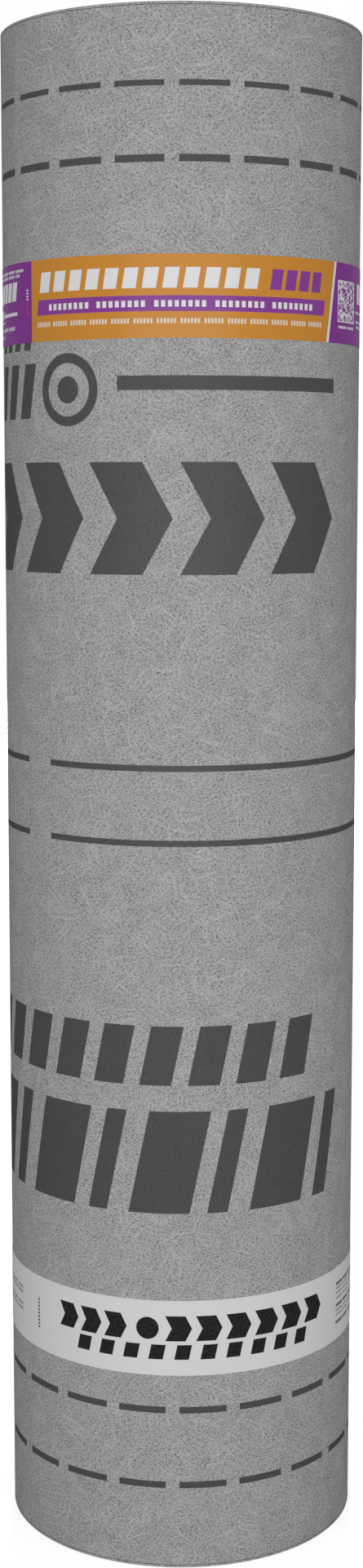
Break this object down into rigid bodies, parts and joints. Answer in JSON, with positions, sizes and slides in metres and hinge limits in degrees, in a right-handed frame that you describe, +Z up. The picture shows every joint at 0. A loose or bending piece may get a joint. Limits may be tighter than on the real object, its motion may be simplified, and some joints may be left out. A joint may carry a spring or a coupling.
{
  "type": "roll of roofing felt",
  "caption": "Full roll of grey roofing felt standing on end, wound round an open bore and held by two wrapped label tapes.",
  "frame": {"origin": "on the axis of the bore, at the lower end, which stands on the floor", "axes": "+Z up along the bore axis, -Y towards the front of the print, +Y towards the sheet's tail edge"},
  "size_m": [0.2372, 0.2379, 1],
  "materials": {
    "felt": "matte",
    "upper_tape": "satin",
    "lower_tape": "satin"
  },
  "bodies": {
    "root": {"felt_roll": "felt", "upper_label_tape": "upper_tape", "lower_label_tape": "lower_tape"}
  },
  "joints": []
}
